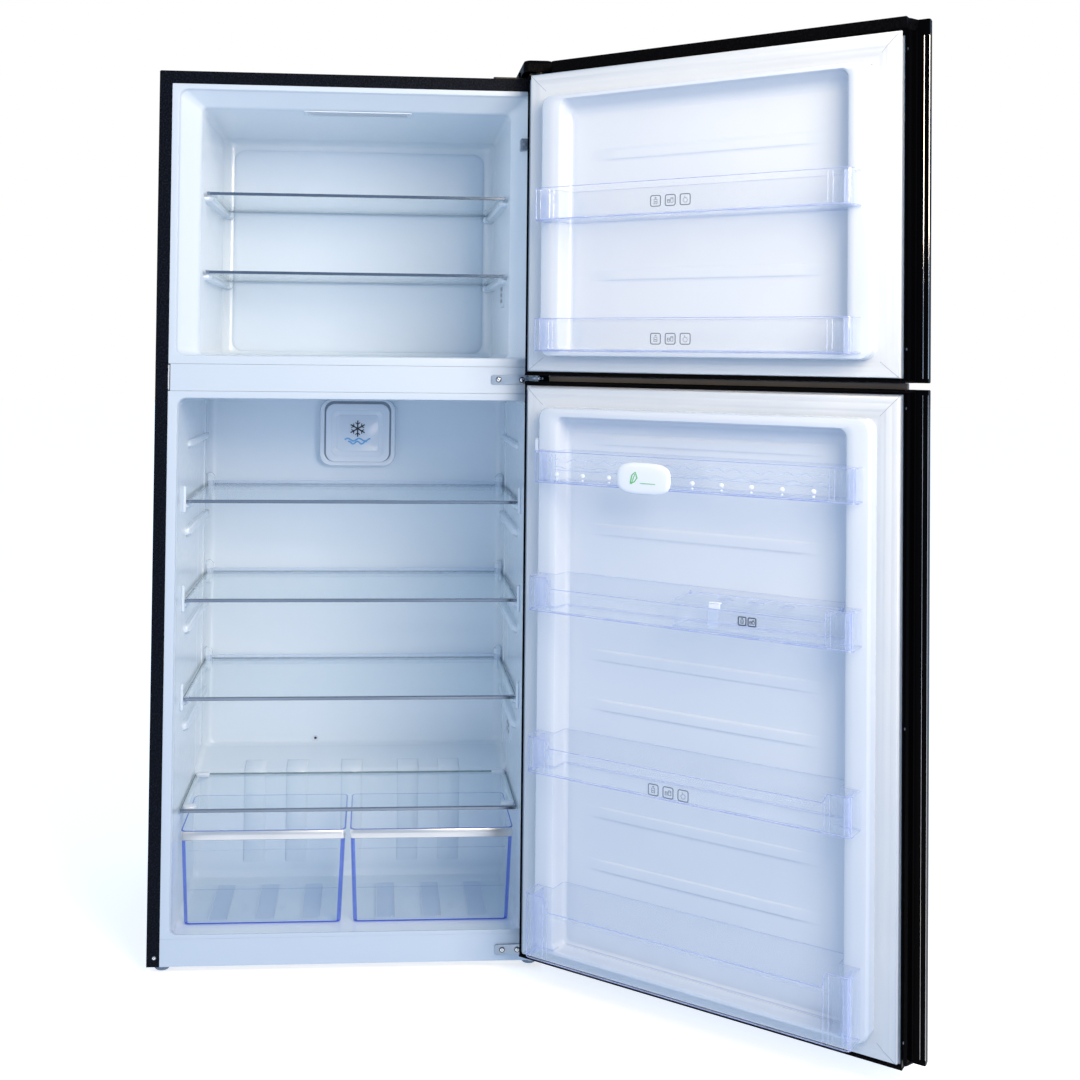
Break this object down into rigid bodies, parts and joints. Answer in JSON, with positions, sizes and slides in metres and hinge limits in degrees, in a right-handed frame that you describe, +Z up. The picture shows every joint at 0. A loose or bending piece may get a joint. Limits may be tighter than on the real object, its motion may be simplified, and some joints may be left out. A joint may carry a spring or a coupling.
{
  "type": "top freezer refrigerator",
  "caption": "Frost-free refrigerator with a top freezer, two hinged glass-faced doors, glass shelves, clear drawers and lift-out door bins.",
  "frame": {"origin": "on the floor, under the middle of the cabinet's front edge", "axes": "+X to the right seen from the front, towards the hinges; +Y into the cabinet; +Z up"},
  "size_m": [1.3812, 1.1749, 1.824],
  "materials": {
    "cabinet_paint": "textured black paint",
    "front_white": "cool white paint",
    "door_side": "glossy black",
    "door_glass": "black back-painted glass",
    "liner": "vacuum-formed, cool white",
    "door_liner": "vacuum-formed, white",
    "gasket": "light grey vinyl",
    "white_plastic": "moulded white",
    "lens": "frosted lens",
    "clear_bin": "clear moulded",
    "drawer_clear": "clear moulded, blue edges",
    "shelf_glass": "clear toughened",
    "trim_silver": "silver moulded",
    "dark_trim": "black moulded",
    "zinc": "zinc plated",
    "back_steel": "galvanised",
    "black_steel": "black enamel",
    "aluminium_fin": "mill finish",
    "foam": "rigid foam",
    "rubber": "moulded"
  },
  "bodies": {
    "cabinet": {"shell": "cabinet_paint", "back_panel": "back_steel", "base_pan": "back_steel", "bay_cover": "dark_trim", "bottom_rail": "front_white", "divider_rail": "front_white", "cabinet_foam": "foam", "freezer_liner": "liner", "fridge_liner": "liner", "evaporator_cover": "liner", "evaporator": "aluminium_fin", "fan_motor": "dark_trim", "lamp_covers": "lens", "vent_box": "white_plastic", "vent_panel": "white_plastic", "drain_tube": "white_plastic", "drain_pan": "dark_trim", "compressor": "black_steel", "compressor_grommets": "rubber", "condenser": "black_steel", "top_hinge": "black_steel", "top_hinge_cover": "door_side", "middle_hinge": "zinc", "bottom_hinge": "zinc", "hinge_screws": "zinc"},
    "freezer_door": {"freezer_door_frame": "door_side", "freezer_door_glass": "door_glass", "freezer_door_foam": "foam", "freezer_door_liner": "door_liner", "freezer_door_gasket": "gasket"},
    "fridge_door": {"fridge_door_frame": "door_side", "fridge_door_glass": "door_glass", "fridge_door_foam": "foam", "fridge_door_liner": "door_liner", "fridge_door_gasket": "gasket", "module_bin": "clear_bin", "module_cover": "white_plastic"},
    "fan": {"fan_rotor": "white_plastic"},
    "rollers": {"rear_rollers": "dark_trim"},
    "left_foot": {"foot_left": "zinc"},
    "right_foot": {"foot_right": "zinc"},
    "plunger": {"switch_plunger": "white_plastic"},
    "freezer_top_shelf": {"freezer_shelf_upper": "shelf_glass"},
    "freezer_mid_shelf": {"freezer_shelf_lower": "shelf_glass"},
    "shelf_1": {"fridge_shelf_1": "shelf_glass", "shelf_trim_1": "trim_silver"},
    "shelf_2": {"fridge_shelf_2": "shelf_glass", "shelf_trim_2": "trim_silver"},
    "shelf_3": {"fridge_shelf_3": "shelf_glass", "shelf_trim_3": "trim_silver"},
    "drawer_cover": {"crisper_cover": "shelf_glass"},
    "left_drawer": {"crisper_left": "drawer_clear"},
    "right_drawer": {"crisper_right": "drawer_clear"},
    "freezer_high_bin": {"freezer_bin_upper": "clear_bin"},
    "freezer_low_bin": {"freezer_bin_lower": "clear_bin"},
    "dairy": {"dairy_bin": "clear_bin", "dairy_box": "clear_bin"},
    "dairy_cover": {"dairy_lid": "clear_bin"},
    "mid_bin": {"bin_middle": "clear_bin"},
    "low_bin": {"bin_bottom": "clear_bin"}
  },
  "joints": [
    {"name": "freezer_door_hinge", "type": "hinge", "parent": "cabinet", "child": "freezer_door", "pos_m": [0.3655, -0.039, 1.497], "axis": [0, 0, 1], "range_deg": [-142.5, 2.5]},
    {"name": "fridge_door_hinge", "type": "hinge", "parent": "cabinet", "child": "fridge_door", "pos_m": [0.3655, -0.039, 0.614], "axis": [0, 0, 1], "range_deg": [-142.5, 2.5]},
    {"name": "fan_spin", "type": "hinge", "parent": "cabinet", "child": "fan", "pos_m": [0, 0.492, 1.625], "axis": [0, 1, 0], "continuous": true},
    {"name": "roller_spin", "type": "hinge", "parent": "cabinet", "child": "rollers", "pos_m": [0, 0.575, 0.012], "axis": [1, 0, 0], "continuous": true},
    {"name": "left_foot_turn", "type": "hinge", "parent": "cabinet", "child": "left_foot", "pos_m": [-0.368, 0.031, 0.02], "axis": [0, 0, 1], "continuous": true},
    {"name": "right_foot_turn", "type": "hinge", "parent": "cabinet", "child": "right_foot", "pos_m": [0.368, 0.031, 0.02], "axis": [0, 0, 1], "continuous": true},
    {"name": "switch_press", "type": "slide", "parent": "cabinet", "child": "plunger", "axis": [0, 1, 0], "range_m": [0, 0.006], "stiffness_N_per_m": 300, "springref_m": -0.003},
    {"name": "freezer_top_shelf_pull", "type": "slide", "parent": "cabinet", "child": "freezer_top_shelf", "axis": [0, -1, 0], "range_m": [0, 0.3]},
    {"name": "freezer_mid_shelf_pull", "type": "slide", "parent": "cabinet", "child": "freezer_mid_shelf", "axis": [0, -1, 0], "range_m": [0, 0.3]},
    {"name": "shelf_1_pull", "type": "slide", "parent": "cabinet", "child": "shelf_1", "axis": [0, -1, 0], "range_m": [0, 0.105]},
    {"name": "shelf_2_pull", "type": "slide", "parent": "cabinet", "child": "shelf_2", "axis": [0, -1, 0], "range_m": [0, 0.105]},
    {"name": "shelf_3_pull", "type": "slide", "parent": "cabinet", "child": "shelf_3", "axis": [0, -1, 0], "range_m": [0, 0.105]},
    {"name": "drawer_cover_pull", "type": "slide", "parent": "cabinet", "child": "drawer_cover", "axis": [0, -1, 0], "range_m": [0, 0.105]},
    {"name": "left_drawer_pull", "type": "slide", "parent": "cabinet", "child": "left_drawer", "axis": [0, -0.9829, 0.184], "range_m": [0, 0.145]},
    {"name": "right_drawer_pull", "type": "slide", "parent": "cabinet", "child": "right_drawer", "axis": [0, -0.9829, 0.184], "range_m": [0, 0.13]},
    {"name": "freezer_high_bin_lift", "type": "slide", "parent": "freezer_door", "child": "freezer_high_bin", "axis": [0, 0, 1], "range_m": [0, 0.025]},
    {"name": "freezer_low_bin_lift", "type": "slide", "parent": "freezer_door", "child": "freezer_low_bin", "axis": [0, 0, 1], "range_m": [0, 0.025]},
    {"name": "dairy_lift", "type": "slide", "parent": "fridge_door", "child": "dairy", "axis": [0, 0, 1], "range_m": [0, 0.025]},
    {"name": "dairy_cover_hinge", "type": "hinge", "parent": "dairy", "child": "dairy_cover", "pos_m": [0.73492, -0.36658, 0.803], "axis": [-0.7934, 0.6088, 0], "range_deg": [0, 75]},
    {"name": "mid_bin_lift", "type": "slide", "parent": "fridge_door", "child": "mid_bin", "axis": [0, 0, 1], "range_m": [0, 0.025]},
    {"name": "low_bin_lift", "type": "slide", "parent": "fridge_door", "child": "low_bin", "axis": [0, 0, 1], "range_m": [0, 0.025]}
  ]
}
